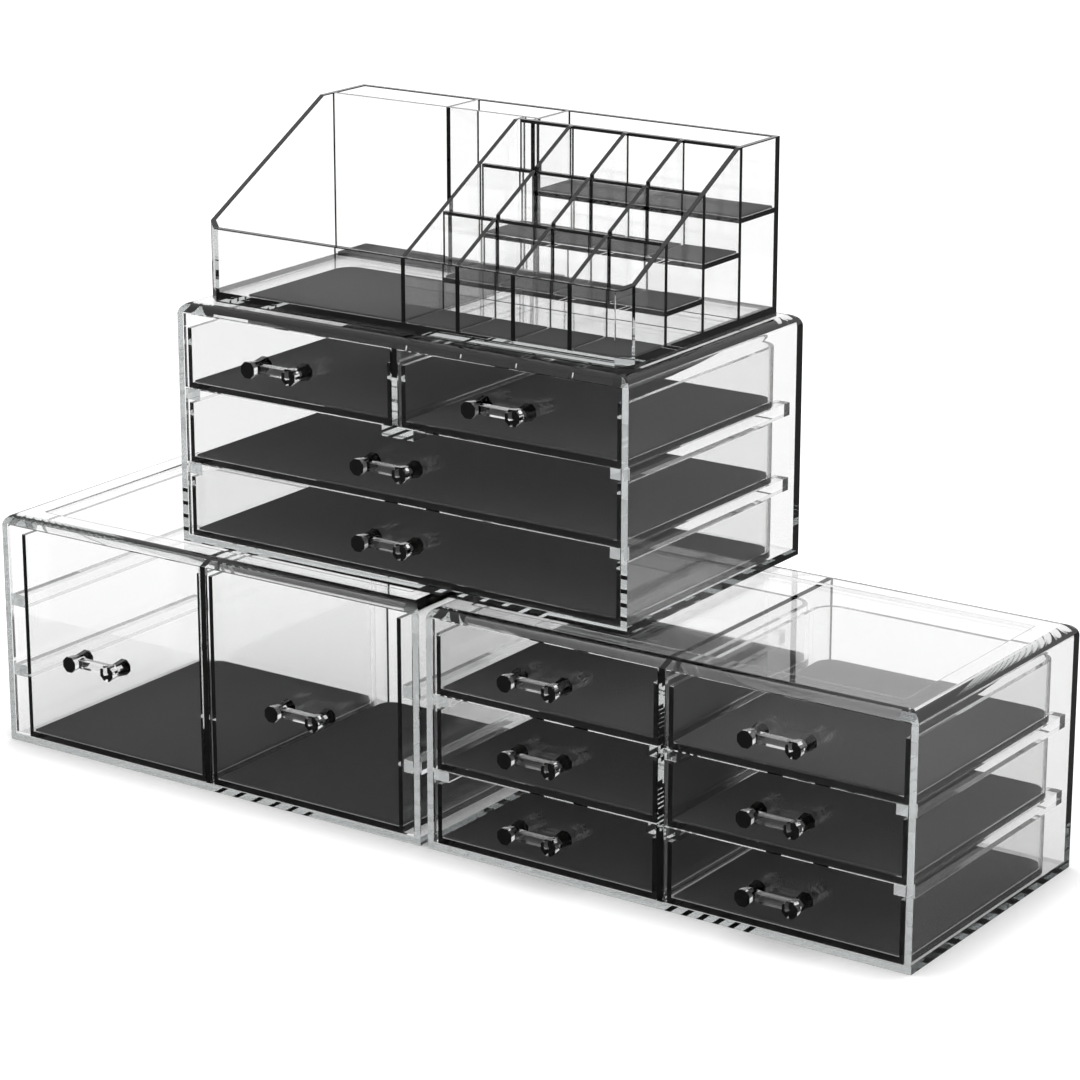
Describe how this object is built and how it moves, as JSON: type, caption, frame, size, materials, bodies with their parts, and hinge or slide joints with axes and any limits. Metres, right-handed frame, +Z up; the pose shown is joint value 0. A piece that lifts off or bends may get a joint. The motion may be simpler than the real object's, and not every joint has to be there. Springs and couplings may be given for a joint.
{
  "type": "drawer organizer",
  "caption": "Stack of clear drawer units with sliding drawers, topped by an open stepped tray with slots for lipsticks and brushes.",
  "frame": {"origin": "on the table under the middle of the stack's overall width and depth", "axes": "+X along the drawer fronts to the right, -Y out of the drawers towards the user, +Z up"},
  "size_m": [0.486, 0.169, 0.302],
  "materials": {
    "clear_acrylic": "polished clear acrylic",
    "grey_liner": "matt dark grey liner"
  },
  "bodies": {
    "left_unit": {"left_casing": "clear_acrylic", "left_divider": "clear_acrylic"},
    "right_unit": {"right_casing": "clear_acrylic", "right_divider": "clear_acrylic"},
    "upper_unit": {"upper_casing": "clear_acrylic", "upper_divider": "clear_acrylic"},
    "left_unit_left_drawer": {"left_unit_left_drawer_box": "clear_acrylic", "left_unit_left_drawer_mat": "grey_liner", "left_unit_left_drawer_pull": "clear_acrylic"},
    "left_unit_right_drawer": {"left_unit_right_drawer_box": "clear_acrylic", "left_unit_right_drawer_mat": "grey_liner", "left_unit_right_drawer_pull": "clear_acrylic"},
    "right_unit_bottom_left_drawer": {"right_unit_bottom_left_drawer_box": "clear_acrylic", "right_unit_bottom_left_drawer_mat": "grey_liner", "right_unit_bottom_left_drawer_pull": "clear_acrylic"},
    "right_unit_bottom_right_drawer": {"right_unit_bottom_right_drawer_box": "clear_acrylic", "right_unit_bottom_right_drawer_mat": "grey_liner", "right_unit_bottom_right_drawer_pull": "clear_acrylic"},
    "right_unit_middle_left_drawer": {"right_unit_middle_left_drawer_box": "clear_acrylic", "right_unit_middle_left_drawer_mat": "grey_liner", "right_unit_middle_left_drawer_pull": "clear_acrylic"},
    "right_unit_middle_right_drawer": {"right_unit_middle_right_drawer_box": "clear_acrylic", "right_unit_middle_right_drawer_mat": "grey_liner", "right_unit_middle_right_drawer_pull": "clear_acrylic"},
    "right_unit_top_left_drawer": {"right_unit_top_left_drawer_box": "clear_acrylic", "right_unit_top_left_drawer_mat": "grey_liner", "right_unit_top_left_drawer_pull": "clear_acrylic"},
    "right_unit_top_right_drawer": {"right_unit_top_right_drawer_box": "clear_acrylic", "right_unit_top_right_drawer_mat": "grey_liner", "right_unit_top_right_drawer_pull": "clear_acrylic"},
    "upper_unit_bottom_drawer": {"upper_unit_bottom_drawer_box": "clear_acrylic", "upper_unit_bottom_drawer_mat": "grey_liner", "upper_unit_bottom_drawer_pull": "clear_acrylic"},
    "upper_unit_middle_drawer": {"upper_unit_middle_drawer_box": "clear_acrylic", "upper_unit_middle_drawer_mat": "grey_liner", "upper_unit_middle_drawer_pull": "clear_acrylic"},
    "upper_unit_top_left_drawer": {"upper_unit_top_left_drawer_box": "clear_acrylic", "upper_unit_top_left_drawer_mat": "grey_liner", "upper_unit_top_left_drawer_pull": "clear_acrylic"},
    "upper_unit_top_right_drawer": {"upper_unit_top_right_drawer_box": "clear_acrylic", "upper_unit_top_right_drawer_mat": "grey_liner", "upper_unit_top_right_drawer_pull": "clear_acrylic"},
    "tray": {"tray_shell": "clear_acrylic", "tray_rack": "clear_acrylic", "tray_brush_shelf": "clear_acrylic", "tray_rack_side": "clear_acrylic", "tray_partition": "clear_acrylic", "tray_left_bin_plate": "clear_acrylic", "tray_right_bin_plate": "clear_acrylic", "rack_fin_1": "clear_acrylic", "rack_fin_2": "clear_acrylic", "rack_fin_3": "clear_acrylic", "slot_pads_row_1": "grey_liner", "slot_pads_row_2": "grey_liner", "slot_pads_row_3": "grey_liner", "brush_pad": "grey_liner", "front_mat": "grey_liner", "left_bin_mat": "grey_liner", "right_bin_mat": "grey_liner"}
  },
  "joints": [
    {"name": "right_unit_aside", "type": "slide", "parent": "left_unit", "child": "right_unit", "axis": [1, 0, 0], "range_m": [0, 0.08]},
    {"name": "upper_unit_lift", "type": "slide", "parent": "left_unit", "child": "upper_unit", "axis": [0, 0, 1], "range_m": [0, 0.15]},
    {"name": "left_unit_left_drawer_slide", "type": "slide", "parent": "left_unit", "child": "left_unit_left_drawer", "axis": [0, -1, 0], "range_m": [0, 0.11]},
    {"name": "left_unit_right_drawer_slide", "type": "slide", "parent": "left_unit", "child": "left_unit_right_drawer", "axis": [0, -1, 0], "range_m": [0, 0.11]},
    {"name": "right_unit_bottom_left_drawer_slide", "type": "slide", "parent": "right_unit", "child": "right_unit_bottom_left_drawer", "axis": [0, -1, 0], "range_m": [0, 0.1]},
    {"name": "right_unit_bottom_right_drawer_slide", "type": "slide", "parent": "right_unit", "child": "right_unit_bottom_right_drawer", "axis": [0, -1, 0], "range_m": [0, 0.1]},
    {"name": "right_unit_middle_left_drawer_slide", "type": "slide", "parent": "right_unit", "child": "right_unit_middle_left_drawer", "axis": [0, -1, 0], "range_m": [0, 0.1]},
    {"name": "right_unit_middle_right_drawer_slide", "type": "slide", "parent": "right_unit", "child": "right_unit_middle_right_drawer", "axis": [0, -1, 0], "range_m": [0, 0.1]},
    {"name": "right_unit_top_left_drawer_slide", "type": "slide", "parent": "right_unit", "child": "right_unit_top_left_drawer", "axis": [0, -1, 0], "range_m": [0, 0.1]},
    {"name": "right_unit_top_right_drawer_slide", "type": "slide", "parent": "right_unit", "child": "right_unit_top_right_drawer", "axis": [0, -1, 0], "range_m": [0, 0.1]},
    {"name": "upper_unit_bottom_drawer_slide", "type": "slide", "parent": "upper_unit", "child": "upper_unit_bottom_drawer", "axis": [0, -1, 0], "range_m": [0, 0.1]},
    {"name": "upper_unit_middle_drawer_slide", "type": "slide", "parent": "upper_unit", "child": "upper_unit_middle_drawer", "axis": [0, -1, 0], "range_m": [0, 0.1]},
    {"name": "upper_unit_top_left_drawer_slide", "type": "slide", "parent": "upper_unit", "child": "upper_unit_top_left_drawer", "axis": [0, -1, 0], "range_m": [0, 0.1]},
    {"name": "upper_unit_top_right_drawer_slide", "type": "slide", "parent": "upper_unit", "child": "upper_unit_top_right_drawer", "axis": [0, -1, 0], "range_m": [0, 0.1]},
    {"name": "tray_lift", "type": "slide", "parent": "upper_unit", "child": "tray", "axis": [0, 0, 1], "range_m": [0, 0.12]}
  ]
}
